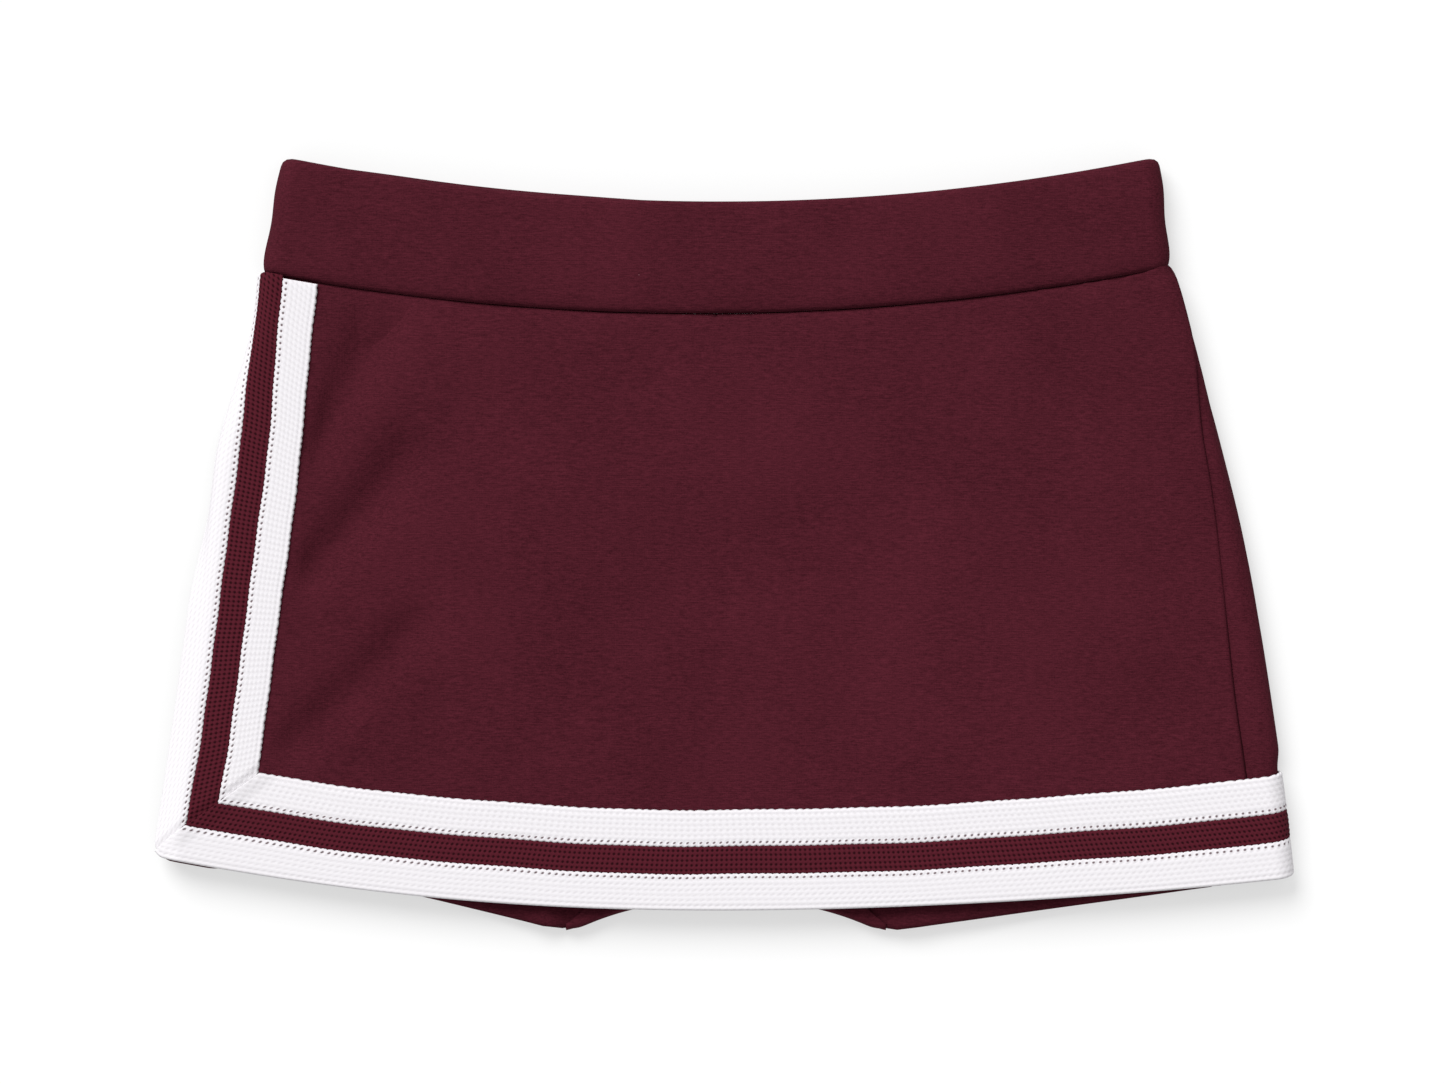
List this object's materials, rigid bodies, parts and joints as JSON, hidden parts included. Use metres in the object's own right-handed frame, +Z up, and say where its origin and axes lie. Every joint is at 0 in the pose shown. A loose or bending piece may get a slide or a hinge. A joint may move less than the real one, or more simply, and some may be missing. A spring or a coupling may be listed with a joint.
{
  "type": "cheerleading skort",
  "caption": "Pull-on cheerleading skort laid flat: wide elasticated waistband, wrap skirt with one slit edged in three-stripe braid, and sewn-in briefs.",
  "frame": {"origin": "under the middle of the whole garment, on the surface that it lies on", "axes": "+X to the right across the front as seen from above, +Y towards the waistband, +Z up out of the front"},
  "size_m": [0.4356, 0.2934, 0.015],
  "materials": {
    "maroon_double_knit": "matt polyester double knit with a fine sideways streak",
    "maroon_knit_braid": "matt knitted braid with rows of small dimples",
    "white_knit_braid": "soft white knitted braid with eyelets beside the centre stripe",
    "elastic_webbing": "ribbed woven elastic",
    "satin_label": "plain satin tape, blank"
  },
  "bodies": {
    "skort": {"waistband_back": "maroon_double_knit", "waistband_front": "maroon_double_knit", "front_panel": "maroon_double_knit", "back_panel": "maroon_double_knit", "briefs_back_left": "maroon_double_knit", "briefs_back_right": "maroon_double_knit", "briefs_front_right": "maroon_double_knit", "briefs_front_left": "maroon_double_knit", "briefs_gusset": "maroon_double_knit", "waist_elastic": "elastic_webbing", "care_label": "satin_label", "front_hem_braid_outer": "white_knit_braid", "back_hem_braid_outer": "white_knit_braid", "back_slit_braid_outer": "white_knit_braid", "front_hem_braid_centre": "maroon_knit_braid", "back_hem_braid_centre": "maroon_knit_braid", "back_slit_braid_centre": "maroon_knit_braid", "front_slit_braid_centre": "maroon_knit_braid", "front_hem_braid_inner": "white_knit_braid", "back_hem_braid_inner": "white_knit_braid", "back_slit_braid_inner": "white_knit_braid", "front_slit_braid_inner": "white_knit_braid"},
    "flap": {"front_flap": "maroon_double_knit", "flap_slit_braid_outer": "white_knit_braid", "flap_hem_braid_outer": "white_knit_braid", "flap_slit_braid_centre": "maroon_knit_braid", "flap_hem_braid_centre": "maroon_knit_braid", "flap_slit_braid_inner": "white_knit_braid", "flap_hem_braid_inner": "white_knit_braid"}
  },
  "joints": [
    {"name": "flap_fold", "type": "hinge", "parent": "skort", "child": "flap", "pos_m": [-0.0768, -0.01679, 0.0152], "axis": [-0.6284, 0.7779, 0], "range_deg": [0, 160]}
  ]
}
